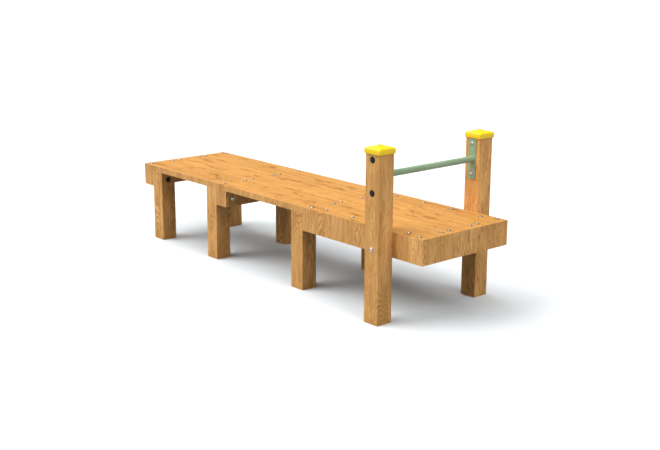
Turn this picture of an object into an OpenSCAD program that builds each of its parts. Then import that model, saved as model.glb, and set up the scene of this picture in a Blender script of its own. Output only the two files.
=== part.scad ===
// Timber sit-up bench for outdoor exercise. A plank deck is screwed to a frame of square
// timbers. Each pair of legs is bolted to its own cross beam. Two side beams join the last
// two cross beams and carry the tall posts, which hold a steel foot bar between them.
// The bench has its own frame: +X runs from the head end to the foot end, +Y to the rear
// and +Z up. The origin is on the ground, at the middle of the overall box.

/* [Timber] */
// Side of every square post, leg and beam
timber_w = 100; // [80:1:120]
// Radius worked on the edges of the posts, legs and beams
timber_edge_r = 1.5; // [0.5:0.5:6]

/* [Deck] */
// Length of the deck boards
deck_length = 2558; // [2130:1:3100]
// Width of one deck board
board_w = 213; // [170:1:260]
// Thickness of the deck boards
board_t = 36; // [28:1:50]
// Gap between two neighbouring boards
board_gap = 0.5; // [0.5:0.5:10]
// Radius worked on the edges of the boards
board_edge_r = 1; // [0.5:0.5:6]

/* [Frame] */
// Height of the legs, which is the underside of the deck
leg_h = 448; // [360:1:560]
// Distance from the head end to the face where the middle legs meet their beam
mid_joint_from_head = 806; // [500:1:1000]
// Distance from the head end to the face where the seat legs meet their beam
seat_joint_from_head = 1629; // [1350:1:1700]

/* [Tall posts] */
// Height of the tall posts' timber, under the caps
post_h = 910; // [800:1:1100]
// Distance from the foot end back to the middle of the tall posts
post_from_foot = 264; // [215:1:300]

/* [Foot bar] */
// Outer diameter of the foot bar's tube
bar_d = 33.7; // [26:0.1:42.4]
// Wall of the tube
bar_wall = 3.2; // [2:0.1:5]
// Height of the bar's axis above the ground
bar_z = 774; // [700:1:774]
// Leg of the fillet weld round each end of the tube
weld_leg = 4; // [3:0.5:6]
// Width of the flange plates
plate_w = 50; // [40:1:80]
// Height of the flange plates
plate_h = 220; // [170:1:220]
// Thickness of the flange plates
plate_t = 5; // [4:0.5:10]
// Radius of the flange plates' corners
plate_corner_r = 4; // [1:0.5:10]
// Distance between the two bolts of a flange plate
plate_bolt_pitch = 170; // [110:1:176]

/* [Post caps] */
// Wall of the plastic caps where they are widest
cap_wall = 6.5; // [5:0.5:8]
// How far the caps reach down over the posts
cap_overlap = 23; // [15:1:23]
// Height of a cap above the top of its post
cap_rise = 18.5; // [16:0.5:30]

/* [Bolts] */
// Diameter of the bolts
bolt_d = 12; // [10:0.5:14.5]
// Diameter of the domed bolt heads
bolt_head_d = 22; // [18:0.5:26]
// Height of the domed bolt heads
bolt_head_h = 7; // [5:0.5:9]
// Diameter of the washers
washer_d = 25; // [22:0.5:28]
// Thickness of the washers
washer_t = 2.5; // [1.5:0.5:3]
// Width of the hexagon nuts across their flats
nut_flats = 19; // [18:0.5:22]
// Thickness of the hexagon nuts
nut_t = 10; // [8:0.5:12]
// Diameter of the recess that hides a nut
recess_d = 30; // [29:0.5:32]
// Depth of the recess that hides a nut
recess_depth = 30; // [30:0.5:36]
// Diameter of the flange of the plastic plugs
plug_d = 35; // [34:0.5:40]
// Height of the domed flange of the plastic plugs
plug_rise = 4; // [3:0.5:6]

/* [Deck screws] */
// Diameter of the deck screws
screw_d = 8; // [5:0.5:10]
// Length of the deck screws under the head
screw_length = 100; // [70:1:110]
// Diameter of the domed heads of the deck screws
screw_head_d = 20; // [14:0.5:22]
// Height of the domed heads of the deck screws
screw_head_h = 5; // [3:0.5:6]
// Distance from a board's long edge to its screws
screw_inset = 27; // [20:1:40]
// Distance from the end of a side beam to its first deck screw
side_screw_inset = 45; // [30:1:50]
// Number of deck screws along each side beam
side_screw_count = 4; // [2:1:5]

/* [Corner brackets] */
// Length of each leg of the angle brackets inside the frame
bracket_leg = 90; // [80:1:100]
// Height of the angle brackets
bracket_h = 65; // [50:1:70]
// Thickness of the angle brackets
bracket_t = 3; // [2:0.5:5]
// Diameter of the bracket screws
bracket_screw_d = 6; // [4:0.5:7]
// Length of the bracket screws under the head
bracket_screw_l = 45; // [30:1:50]

/* [Hidden] */
$fn = 64;

// Running clearance of a bolt or screw in its hole, across the diameter
hole_clear = 1;
// Clearance of a screw's shank in its pilot hole, across the diameter
pilot_clear = 0.3;
// Clearance of a nut's and a washer's hole, across the diameter
thread_clear = 0.4;
// How far a bolt's end stands out of its nut
bolt_tail = 3;
// Depth of a plug's body in its recess, and the body's clearance across the diameter
plug_body = 10;
plug_clear = 0.4;
// Width across the corners of the hexagon socket in a bolt's and a screw's head, as a share of the shank
bolt_socket_share = 0.75;
screw_socket_share = 0.8;
// Distance from the tip of an angle bracket's leg to its outer screw
bracket_hole_inset = 15;
// How far a cutter runs past the face that it opens
over = 1;

// Both sides of the bench: the front is -1 and the rear is 1
SIDES = [-1, 1];
FRONT = -1;
REAR = 1;
BOARD_COUNT = 3;

// Depth of the box in front of the head end, taken by the head bolts and their washers
head_stack = bolt_head_h + washer_t;
head_x = head_stack - (deck_length + head_stack) / 2;
foot_x = head_x + deck_length;
deck_w = BOARD_COUNT * board_w + (BOARD_COUNT - 1) * board_gap;
deck_top = leg_h + board_t;
side_y = deck_w / 2;

// Low X faces of the timbers that stand or lie across the bench
beam_head_x = head_x;
leg_head_x = head_x + timber_w;
leg_mid_x = head_x + mid_joint_from_head - timber_w;
beam_mid_x = head_x + mid_joint_from_head;
leg_seat_x = head_x + seat_joint_from_head - timber_w;
beam_seat_x = head_x + seat_joint_from_head;
beam_foot_x = foot_x - timber_w;
post_x = foot_x - post_from_foot;
CROSS_BEAMS = [beam_head_x, beam_mid_x, beam_seat_x, beam_foot_x];

// Side beams run between the seat beam and the foot beam
side_beam_x = beam_seat_x + timber_w;
side_beam_l = beam_foot_x - side_beam_x;
beam_z = leg_h - timber_w;
bolt_z = leg_h - timber_w / 2;
leg_y = side_y - timber_w / 2;
post_y = side_y + timber_w / 2;

// Length that each kind of bolt clamps, from the seat to its nut washer
frame_grip = 2 * timber_w - recess_depth;
plate_grip = plate_t + timber_w - recess_depth;

// Clearance between a cap and its post on each side, and the size of the cap outside
cap_gap = 0.6;
cap_w = timber_w + 2 * (cap_gap + cap_wall);
cap_z = post_h - cap_overlap;
cap_dimple_d = 24;
cap_dimple_depth = 8;
cap_plug_t = 3;
cap_screw_d = 5;
cap_screw_head_d = 10;
cap_screw_head_h = 3.5;
cap_screw_l = 40;
cap_screw_tip_gap = 5;

// Levels of a cap's walls, each [how much narrower it is than the widest, corner radius, height,
// thickness], from the lip over the bulge and round the shoulder
CAP_WALLS = [[4, 4, 0, 1], [1.5, 5, 2, 1], [0, 6, 7, 1], [0, 7, cap_overlap - 6, 1],
    [1.5, 8, cap_overlap, 1], [5, 9, cap_overlap + 5, 1], [10, 10, cap_overlap + 8, 1]];
// Foot of the low pyramid on a cap
CAP_TOP = [18, 12, cap_overlap + 9, 1];
// Diameters of the round boss on a cap, at its foot, above its foot and at its top
cap_boss_foot_d = 44;
cap_boss_d = 40;
cap_boss_top_d = 34;
cap_boss_h = 4;

TIMBER = "#d9a066";
ZINC = "silver";
BLACK = "#1d1f1f";
GREEN = "#8fb08f";
YELLOW = "#f5d416";

// ---- Shapes that repeat ----

// Rectangle with round corners, from the origin
module soft_rect(w, h, r) {
    translate([r, 0]) square([w - 2 * r, h]);
    translate([0, r]) square([w, h - 2 * r]);
    for (x = [r, w - r], y = [r, h - r]) translate([x, y]) circle(r);
}

// Box from the origin with every edge rounded
module soft_box(size, r) {
    intersection() {
        linear_extrude(size.z) soft_rect(size.x, size.y, r);
        translate([0, size.y, 0]) rotate([90, 0, 0]) linear_extrude(size.y) soft_rect(size.x, size.z, r);
        rotate([90, 0, 90]) linear_extrude(size.x) soft_rect(size.y, size.z, r);
    }
}

// Flat-bottomed dome that stands on z = 0
module dome(d, h) {
    ball_r = (d * d / 4 + h * h) / (2 * h);
    intersection() {
        translate([0, 0, h - ball_r]) sphere(ball_r);
        cylinder(d = d, h = h);
    }
}

module ring(outer_d, inner_d, h) {
    difference() {
        cylinder(d = outer_d, h = h);
        translate([0, 0, -over]) cylinder(d = inner_d, h = h + 2 * over);
    }
}

// Turns a part that points along +Z so that it points along the given row axis
module along(dir) {
    if (dir.x > 0) rotate([0, 90, 0]) children();
    if (dir.x < 0) rotate([0, -90, 0]) children();
    if (dir.y > 0) rotate([-90, 0, 0]) children();
    if (dir.y < 0) rotate([90, 0, 0]) children();
    if (dir.z < 0) rotate([180, 0, 0]) children();
}

// ---- Bolted joints: [place of the seat on the clamped face, direction of the shank] ----

function head_joint(side) = [[beam_head_x, side * leg_y, bolt_z], [1, 0, 0]];
function mid_joint(side) = [[beam_mid_x + timber_w, side * leg_y, bolt_z], [-1, 0, 0]];
function seat_joint(side) = [[beam_seat_x + timber_w, side * leg_y, bolt_z], [-1, 0, 0]];
function post_joint(side) = [[post_x, side * (side_y + timber_w), bolt_z], [0, -side, 0]];
function plate_joint(side, level) =
    [[post_x, side * (side_y - plate_t), bar_z + level * plate_bolt_pitch / 2], [0, side, 0]];

LEG_JOINTS = [for (side = SIDES) each [head_joint(side), mid_joint(side), seat_joint(side)]];
POST_JOINTS = [for (side = SIDES) post_joint(side)];
PLATE_JOINTS = [for (side = SIDES, level = [-1, 1]) plate_joint(side, level)];

module at(joint) {
    translate(joint[0]) along(joint[1]) children();
}

// Steel or plastic pieces of one kind, one on each joint of a list
module zinc_at(joints) {
    color(ZINC) for (joint = joints) at(joint) children();
}

module black_at(joints) {
    color(BLACK) for (joint = joints) at(joint) children();
}

// Hole for the bolt and recess for its nut, from the seat
module bolt_cut(grip) {
    translate([0, 0, -over]) cylinder(d = bolt_d + hole_clear, h = grip + 2 * over);
    translate([0, 0, grip]) cylinder(d = recess_d, h = recess_depth + over);
}

// Bolt whose head stands the given height off the seat
module bolt(grip, lift) {
    translate([0, 0, -lift]) rotate([180, 0, 0]) difference() {
        dome(bolt_head_d, bolt_head_h);
        translate([0, 0, bolt_head_h / 2])
            cylinder(d = bolt_d * bolt_socket_share, h = bolt_head_h, $fn = 6);
    }
    translate([0, 0, -lift]) cylinder(d = bolt_d, h = lift + grip + washer_t + nut_t + bolt_tail);
}

// Washers that start at the given distances past the seat
module bolt_washers(starts) {
    for (z = starts) translate([0, 0, z]) ring(washer_d, bolt_d + thread_clear, washer_t);
}

module nut(grip) {
    translate([0, 0, grip + washer_t]) difference() {
        cylinder(d = nut_flats / cos(30), h = nut_t, $fn = 6);
        translate([0, 0, -over]) cylinder(d = bolt_d + thread_clear, h = nut_t + 2 * over);
    }
}

module plug(grip) {
    translate([0, 0, grip + recess_depth]) {
        translate([0, 0, -plug_body]) cylinder(d = recess_d - plug_clear, h = plug_body);
        dome(plug_d, plug_rise);
    }
}

// ---- Deck screws ----

// Distances of the six screws in a cross beam from the bench's middle
function screw_row() = [for (i = [0 : BOARD_COUNT - 1], inset = [screw_inset, board_w - screw_inset])
    -side_y + i * (board_w + board_gap) + inset];
SIDE_SCREW_PITCH = (side_beam_l - 2 * side_screw_inset) / (side_screw_count - 1);
CROSS_SCREWS = [for (x = CROSS_BEAMS, y = screw_row()) [x + timber_w / 2, y, deck_top]];
SIDE_SCREWS = [for (side = SIDES, i = [0 : side_screw_count - 1])
    [side_beam_x + side_screw_inset + i * SIDE_SCREW_PITCH, side * leg_y, deck_top]];

module screw_cuts(places) {
    for (place = places) {
        translate(place + [0, 0, -screw_length - over])
            cylinder(d = screw_d + pilot_clear, h = screw_length + 2 * over);
    }
}

module deck_screws(places) {
    for (place = places) translate(place) {
        difference() {
            dome(screw_head_d, screw_head_h);
            translate([0, 0, screw_head_h / 2])
                cylinder(d = screw_d * screw_socket_share, h = screw_head_h, $fn = 6);
        }
        translate([0, 0, -screw_length]) cylinder(d = screw_d, h = screw_length);
    }
}

// ---- Angle brackets in the inner corners of the foot frame ----

// A bracket's screws: [distance along the leg, height from the bracket's middle]
BRACKET_HOLES = [[bracket_leg / 3, bracket_h / 4], [bracket_leg - bracket_hole_inset, -bracket_h / 4]];
// Inner corners: [X of the corner, direction along X, side]
CORNERS = [for (side = SIDES) each [[side_beam_x, 1, side], [beam_foot_x, -1, side]]];

// Puts a shape drawn in the +X, +Y quadrant round a corner into that inner corner
module in_corner(corner) {
    translate([corner[0], corner[2] * (side_y - timber_w), bolt_z])
        scale_signs(corner[1], -corner[2]) children();
}

module scale_signs(x_sign, y_sign) {
    if (x_sign > 0 && y_sign > 0) children();
    if (x_sign < 0 && y_sign > 0) mirror([1, 0, 0]) children();
    if (x_sign > 0 && y_sign < 0) mirror([0, 1, 0]) children();
    if (x_sign < 0 && y_sign < 0) rotate([0, 0, 180]) children();
}

// Places a part that points along -Z on each screw hole of a bracket
module at_bracket_holes() {
    for (hole = BRACKET_HOLES) {
        translate([hole[0], bracket_t, hole[1]]) rotate([-90, 0, 0]) children();
        translate([bracket_t, hole[0], -hole[1]]) rotate([0, 90, 0]) children();
    }
}

module bracket() {
    difference() {
        translate([0, 0, -bracket_h / 2]) linear_extrude(bracket_h) {
            square([bracket_leg, bracket_t]);
            square([bracket_t, bracket_leg]);
        }
        at_bracket_holes() translate([0, 0, -bracket_t - over])
            cylinder(d = bracket_screw_d + hole_clear, h = bracket_t + 2 * over);
    }
}

module bracket_screw() {
    dome(2 * bracket_screw_d, bracket_screw_d / 2);
    translate([0, 0, -bracket_screw_l]) cylinder(d = bracket_screw_d, h = bracket_screw_l);
}

module brackets() {
    color(ZINC) for (corner = CORNERS) in_corner(corner) bracket();
}

module bracket_screws() {
    color(ZINC) for (corner = CORNERS) in_corner(corner) at_bracket_holes() bracket_screw();
}

module bracket_cuts() {
    for (corner = CORNERS) in_corner(corner) at_bracket_holes()
        translate([0, 0, -bracket_screw_l - over])
            cylinder(d = bracket_screw_d + pilot_clear, h = bracket_screw_l + 2 * over);
}

// ---- Timber ----

// One deck board, counted from the front
module deck_board(i) {
    color(TIMBER) difference() {
        translate([head_x, -side_y + i * (board_w + board_gap), leg_h])
            soft_box([deck_length, board_w, board_t], board_edge_r);
        screw_cuts(CROSS_SCREWS);
        screw_cuts(SIDE_SCREWS);
    }
}

// One cross beam, from its low X face
module cross_beam(x) {
    color(TIMBER) difference() {
        translate([x, -side_y, beam_z]) soft_box([timber_w, deck_w, timber_w], timber_edge_r);
        screw_cuts(CROSS_SCREWS);
        for (joint = LEG_JOINTS) at(joint) bolt_cut(frame_grip);
        if (x == beam_seat_x || x == beam_foot_x) bracket_cuts();
    }
}

// Side beam with a pocket in its end grain for the head of the seat leg's bolt
module side_beam(side) {
    color(TIMBER) difference() {
        translate([side_beam_x, side < 0 ? -side_y : side_y - timber_w, beam_z])
            soft_box([side_beam_l, timber_w, timber_w], timber_edge_r);
        screw_cuts(SIDE_SCREWS);
        bracket_cuts();
        at(post_joint(side)) bolt_cut(frame_grip);
        at(seat_joint(side)) translate([0, 0, -head_stack - over])
            cylinder(d = recess_d, h = head_stack + over);
    }
}

// One leg, from its low X face, with the joint that holds it
module leg(x, side, joint) {
    color(TIMBER) difference() {
        translate([x, side < 0 ? -side_y : side_y - timber_w, 0])
            soft_box([timber_w, timber_w, leg_h], timber_edge_r);
        at(joint) bolt_cut(frame_grip);
    }
}

module post(side) {
    color(TIMBER) difference() {
        translate([post_x - timber_w / 2, side < 0 ? -side_y - timber_w : side_y, 0])
            soft_box([timber_w, timber_w, post_h], timber_edge_r);
        at(post_joint(side)) bolt_cut(frame_grip);
        for (level = [-1, 1]) at(plate_joint(side, level)) bolt_cut(plate_grip);
        translate([post_x, side * post_y, post_h - cap_screw_l])
            cylinder(d = cap_screw_d + pilot_clear, h = cap_screw_l + over);
    }
}

// ---- Post caps ----

// One level of a cap: a square with round corners
module cap_level(level) {
    w = cap_w - level[0];
    r = level[1];
    translate([0, 0, level[2]]) linear_extrude(level[3]) {
        square([w - 2 * r, w], center = true);
        square([w, w - 2 * r], center = true);
        for (x = SIDES, y = SIDES) translate([x, y] * (w / 2 - r)) circle(r, $fn = 32);
    }
}

// Disc of the boss, 1 mm thick, whose underside is the given depth below the cap's top
module boss_disc(d, depth) {
    translate([0, 0, cap_overlap + cap_rise - depth]) cylinder(d = d, h = 1, $fn = 32);
}

module cap_shape() {
    // Side walls that bulge out over the lip and round in to the shoulder
    hull() {
        for (level = CAP_WALLS) cap_level(level);
        cap_level(CAP_TOP);
    }
    // Low pyramid and the round boss in its middle
    hull() {
        cap_level(CAP_TOP);
        boss_disc(cap_boss_foot_d, cap_boss_h);
    }
    hull() {
        boss_disc(cap_boss_d, cap_boss_h);
        boss_disc(cap_boss_top_d, 1);
    }
}

module post_cap(side) {
    color(YELLOW) translate([post_x, side * post_y, cap_z]) difference() {
        cap_shape();
        translate([-timber_w / 2 - cap_gap, -timber_w / 2 - cap_gap, -over])
            cube([timber_w + 2 * cap_gap, timber_w + 2 * cap_gap, cap_overlap + over]);
        translate([0, 0, cap_overlap - over])
            cylinder(d = cap_screw_d + hole_clear, h = cap_rise + 2 * over);
        translate([0, 0, cap_overlap + cap_rise - cap_dimple_depth])
            cylinder(d = cap_dimple_d, h = cap_dimple_depth + over);
    }
}

// Screws that hold the caps, with their heads in the dimples
module cap_screws() {
    color(ZINC) for (side = SIDES) translate([post_x, side * post_y, post_h + cap_rise - cap_dimple_depth]) {
        cylinder(d = cap_screw_head_d, h = cap_screw_head_h);
        translate([0, 0, cap_dimple_depth - cap_rise - cap_screw_l + cap_screw_tip_gap])
            cylinder(d = cap_screw_d, h = cap_screw_l + cap_rise - cap_dimple_depth - cap_screw_tip_gap);
    }
}

// Plugs that close the dimples over the screw heads
module cap_plugs() {
    color(YELLOW) for (side = SIDES)
        translate([post_x, side * post_y, post_h + cap_rise - cap_dimple_depth])
            difference() {
                cylinder(d = cap_dimple_d - plug_clear, h = cap_screw_head_h + cap_plug_t);
                translate([0, 0, -over]) cylinder(d = cap_screw_head_d + 1, h = cap_screw_head_h + over);
            }
}

// ---- Foot bar ----

module foot_bar() {
    bar_l = deck_w - 2 * plate_t;
    color(GREEN) translate([post_x, -bar_l / 2, bar_z]) along([0, 1, 0])
        ring(bar_d, bar_d - 2 * bar_wall, bar_l);
}

// Fillet welds between the tube and its plates
module bar_welds() {
    color(GREEN) for (side = SIDES)
        translate([post_x, side * (side_y - plate_t), bar_z]) along([0, -side, 0])
            rotate_extrude() translate([bar_d / 2, 0]) polygon([[0, 0], [weld_leg, 0], [0, weld_leg]]);
}

module bar_plate(side) {
    color(GREEN) difference() {
        translate([post_x, side * side_y, bar_z]) along([0, -side, 0]) linear_extrude(plate_t)
            translate([-plate_w / 2, -plate_h / 2]) soft_rect(plate_w, plate_h, plate_corner_r);
        for (level = [-1, 1]) at(plate_joint(side, level)) bolt_cut(plate_grip);
    }
}

deck_board(0);  // deck_board_front
deck_board(1);  // deck_board_middle
deck_board(2);  // deck_board_rear
cross_beam(beam_head_x);  // cross_beam_head
cross_beam(beam_mid_x);  // cross_beam_mid
cross_beam(beam_seat_x);  // cross_beam_seat
cross_beam(beam_foot_x);  // cross_beam_foot
side_beam(FRONT);  // side_beam_front
side_beam(REAR);  // side_beam_rear
leg(leg_head_x, FRONT, head_joint(FRONT));  // leg_head_front
leg(leg_head_x, REAR, head_joint(REAR));  // leg_head_rear
leg(leg_mid_x, FRONT, mid_joint(FRONT));  // leg_mid_front
leg(leg_mid_x, REAR, mid_joint(REAR));  // leg_mid_rear
leg(leg_seat_x, FRONT, seat_joint(FRONT));  // leg_seat_front
leg(leg_seat_x, REAR, seat_joint(REAR));  // leg_seat_rear
post(FRONT);  // post_front
post(REAR);  // post_rear
post_cap(FRONT);  // post_cap_front
post_cap(REAR);  // post_cap_rear
cap_screws();
cap_plugs();
foot_bar();
bar_welds();
bar_plate(FRONT);  // bar_plate_front
bar_plate(REAR);  // bar_plate_rear
zinc_at(PLATE_JOINTS) bolt(plate_grip, 0);  // plate_bolts
zinc_at(PLATE_JOINTS) bolt_washers([plate_grip]);  // plate_bolt_washers
zinc_at(PLATE_JOINTS) nut(plate_grip);  // plate_bolt_nuts
black_at(PLATE_JOINTS) plug(plate_grip);  // plate_bolt_plugs
zinc_at(LEG_JOINTS) bolt(frame_grip, washer_t);  // leg_bolts
zinc_at(LEG_JOINTS) bolt_washers([-washer_t, frame_grip]);  // leg_bolt_washers
zinc_at(LEG_JOINTS) nut(frame_grip);  // leg_bolt_nuts
black_at(LEG_JOINTS) plug(frame_grip);  // leg_bolt_plugs
zinc_at(POST_JOINTS) bolt(frame_grip, washer_t);  // post_bolts
zinc_at(POST_JOINTS) bolt_washers([-washer_t, frame_grip]);  // post_bolt_washers
zinc_at(POST_JOINTS) nut(frame_grip);  // post_bolt_nuts
black_at(POST_JOINTS) plug(frame_grip);  // post_bolt_plugs
color(ZINC) deck_screws(CROSS_SCREWS);  // cross_beam_screws
color(ZINC) deck_screws(SIDE_SCREWS);  // side_beam_screws
brackets();  // corner_brackets
bracket_screws();
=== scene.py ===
"""Looks of a timber sit-up bench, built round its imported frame.

Timber keeps the frame's own solids under a stained softwood finish. The moulded caps and plugs, the
bolts, the screws, the foot bar and its flanges are modelled here at full detail, each in the place of
the frame's plain solid. Everything is in metres, in the frame's own axes.
"""

import logging
import math
from collections.abc import Iterable, Sequence
from dataclasses import dataclass, field
from enum import Enum

import bmesh
import bpy
from mathutils import Matrix, Vector


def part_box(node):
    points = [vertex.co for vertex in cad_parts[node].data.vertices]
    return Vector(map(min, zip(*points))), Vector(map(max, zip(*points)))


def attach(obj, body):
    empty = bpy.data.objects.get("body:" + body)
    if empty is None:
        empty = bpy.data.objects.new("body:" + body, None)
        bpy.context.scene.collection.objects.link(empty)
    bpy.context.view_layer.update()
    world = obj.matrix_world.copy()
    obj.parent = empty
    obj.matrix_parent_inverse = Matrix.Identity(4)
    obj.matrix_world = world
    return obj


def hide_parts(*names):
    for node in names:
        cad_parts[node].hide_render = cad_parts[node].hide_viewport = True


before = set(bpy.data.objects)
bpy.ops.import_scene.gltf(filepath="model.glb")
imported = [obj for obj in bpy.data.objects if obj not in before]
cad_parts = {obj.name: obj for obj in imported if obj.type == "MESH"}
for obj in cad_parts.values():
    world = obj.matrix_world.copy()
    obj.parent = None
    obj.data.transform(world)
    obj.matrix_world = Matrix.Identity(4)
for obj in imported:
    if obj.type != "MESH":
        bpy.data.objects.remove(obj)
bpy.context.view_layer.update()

log = logging.getLogger("sit_up_bench")

Socket = bpy.types.NodeSocket
Material = bpy.types.Material
Shape = bmesh.types.BMesh
Colour = tuple[float, float, float]
Triple = tuple[float, float, float]
# A value's low and high, then the results there, which are 0 and 1 where they are left out
Step = tuple[float, ...]
# Strength of a bump, and its depth in metres
Bump = tuple[float, float]

MM = 0.001
BODY = "root"
UPRIGHT = Vector((0.0, 0.0, 1.0))
REARWARD = Vector((0.0, 1.0, 0.0))
# Share of a quarter's points on each half side of a square ring
STRAIGHT_SHARE = 0.25
# Angles between faces: below the first they are one plane, above the others they meet at an edge
FLAT_ANGLE = math.radians(1.0)
CORNER_ANGLE = math.radians(35.0)
SHARP_ANGLE = math.radians(38.0)
WELD_GAP = 1e-6


class Side(Enum):
    """The two long sides of the bench, with the sign of Y on each."""

    FRONT = -1
    REAR = 1

    @property
    def stem(self) -> str:
        """The side's name in the names of nodes."""
        return self.name.lower()


class Outline(Enum):
    """Shape of one ring of a lofted piece."""

    ROUND = "round"
    HEXAGON = "hexagon"
    SQUARE = "square with round corners"


class Slot(Enum):
    """Names of material slots."""

    TIMBER = "timber"
    ZINC = "zinc_steel"
    GREEN = "green_paint"
    YELLOW = "yellow_plastic"
    BLACK = "black_plastic"


class MixKind(Enum):
    """What a Mix node mixes: its type of data, and its sockets for both inputs and the result."""

    VECTOR = ("VECTOR", 4, 5, 1)
    COLOUR = ("RGBA", 6, 7, 2)


@dataclass(frozen=True)
class Box:
    """The box round one node of the frame."""

    low: Vector
    high: Vector

    @classmethod
    def of(cls, node: str) -> "Box":
        """Returns the box of a node."""
        return cls(*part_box(node))

    @property
    def centre(self) -> Vector:
        """The middle of the box."""
        return (self.low + self.high) / 2

    @property
    def size(self) -> Vector:
        """The length of the box along each axis."""
        return self.high - self.low


# ---- Node work that the finishes share ----


@dataclass(frozen=True)
class Mottle:
    """A fractal pattern in a finish.

    Attributes:
        scale: Features per metre along each axis.
        detail: Number of finer layers.
        step: The smooth step that is taken of the pattern.
        rough: Strength of each finer layer.
        swirl: How far the pattern bends itself.
    """

    scale: Triple
    detail: float
    step: Step = (0.0, 1.0)
    rough: float = 0.5
    swirl: float = 0.0


class NodeSheet:
    """Adds shader nodes to one node tree and wires them."""

    def __init__(self, tree: bpy.types.NodeTree) -> None:
        """Takes the tree that the nodes go into."""
        self.tree = tree

    def node(self, kind: str, *values: object, **settings: object) -> bpy.types.Node:
        """Adds a node.

        Args:
            kind: Kind of the node.
            values: What its first inputs are fed with, in order.
            settings: Its properties by name.

        Returns:
            The node.
        """
        made = self.tree.nodes.new(kind)
        for name, value in settings.items():
            setattr(made, name, value)
        for socket, value in zip(made.inputs, values):
            self.feed(socket, value)
        return made

    def feed(self, socket: Socket, value: object) -> None:
        """Wires an output into a socket, or sets the socket to a plain value.

        Args:
            socket: The input.
            value: The output or the plain value.
        """
        if isinstance(value, Socket):
            self.tree.links.new(value, socket)
        else:
            socket.default_value = value

    def math(self, operation: str, *values: object) -> Socket:
        """Returns the result of a Math node on one to three values."""
        return self.node("ShaderNodeMath", *values, operation=operation).outputs[0]

    def vector(self, operation: str, first: object, second: object) -> Socket:
        """Returns the result of a Vector Math node on two vectors."""
        return self.node("ShaderNodeVectorMath", first, second, operation=operation).outputs[0]

    def distance(self, first: object, second: object) -> Socket:
        """Returns the distance between two points."""
        return self.node("ShaderNodeVectorMath", first, second, operation="DISTANCE").outputs["Value"]

    def split(self, vector: object) -> list[Socket]:
        """Returns the X, Y and Z of a vector."""
        return list(self.node("ShaderNodeSeparateXYZ", vector).outputs)

    def join(self, x: object, y: object, z: object) -> Socket:
        """Returns the vector of three values."""
        return self.node("ShaderNodeCombineXYZ", x, y, z).outputs[0]

    def noise(self, place: object, pattern: Mottle) -> Socket:
        """Adds the noise of a pattern, before its step.

        Args:
            place: Where the noise is read, in metres.
            pattern: The pattern.

        Returns:
            The noise, about 0.5 on average.
        """
        made = self.node("ShaderNodeTexNoise", self.vector("MULTIPLY", place, pattern.scale))
        settings = {"Detail": pattern.detail, "Roughness": pattern.rough, "Distortion": pattern.swirl}
        for name, value in {"Scale": 1.0, **settings}.items():
            made.inputs[name].default_value = value
        return made.outputs["Fac"]

    def span(self, value: object, low: float, high: float, first: float = 0.0, last: float = 1.0) -> Socket:
        """Maps low to high smoothly onto first to last, and holds it there beyond them.

        Args:
            value: The value to map.
            low: Value that gives first.
            high: Value that gives last.
            first: Result at and below low.
            last: Result at and above high.

        Returns:
            The mapped value.
        """
        values = (value, low, high, first, last)
        return self.node("ShaderNodeMapRange", *values, interpolation_type="SMOOTHSTEP").outputs[0]

    def mottle(self, place: object, pattern: Mottle) -> Socket:
        """Returns a pattern at a place, after its step."""
        return self.span(self.noise(place, pattern), *pattern.step)

    def mix(
        self, share: object, first: object, second: object, how: str = "MIX", kind: MixKind = MixKind.COLOUR
    ) -> Socket:
        """Mixes two colours or vectors.

        Args:
            share: How much of the second one shows, from 0 to 1.
            first: Colour or vector at a share of 0.
            second: Colour or vector at a share of 1.
            how: Blender's blend type.
            kind: What is mixed.

        Returns:
            The mixture.
        """
        data_type, first_input, second_input, result = kind.value
        made = self.node("ShaderNodeMix", share, data_type=data_type, blend_type=how)
        for index, value in ((first_input, first), (second_input, second)):
            self.feed(made.inputs[index], (*value, 1.0) if isinstance(value, tuple) else value)
        return made.outputs[result]

    def bump(self, height: object, strength: float, depth: float) -> Socket:
        """Turns a height into a normal.

        Args:
            height: The height, from 0 to 1.
            strength: Share of the effect.
            depth: Size in metres of a height of 1.

        Returns:
            The bumped normal.
        """
        made = self.node("ShaderNodeBump")
        made.inputs["Strength"].default_value = strength
        made.inputs["Distance"].default_value = depth
        self.feed(made.inputs["Height"], height)
        return made.outputs["Normal"]


class Finish:
    """A material under way: its nodes, its shader and its object coordinates."""

    def __init__(self, name: str) -> None:
        """Starts an empty material.

        Args:
            name: Its name.
        """
        self.material = bpy.data.materials.new(name)
        self.material.use_nodes = True
        self.material.node_tree.nodes.clear()
        self.sheet = NodeSheet(self.material.node_tree)
        self.shader = self.sheet.node("ShaderNodeBsdfPrincipled")
        output = self.sheet.node("ShaderNodeOutputMaterial")
        self.sheet.feed(output.inputs["Surface"], self.shader.outputs[0])
        self.place = self.sheet.node("ShaderNodeTexCoord").outputs["Object"]

    def set(self, **values: object) -> None:
        """Sets or wires the shader's sockets.

        Args:
            values: The value of each socket by its name, with _ for a space.
        """
        for name, value in values.items():
            socket = self.shader.inputs[name.replace("_", " ")]
            self.sheet.feed(socket, (*value, 1.0) if isinstance(value, tuple) else value)


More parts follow.
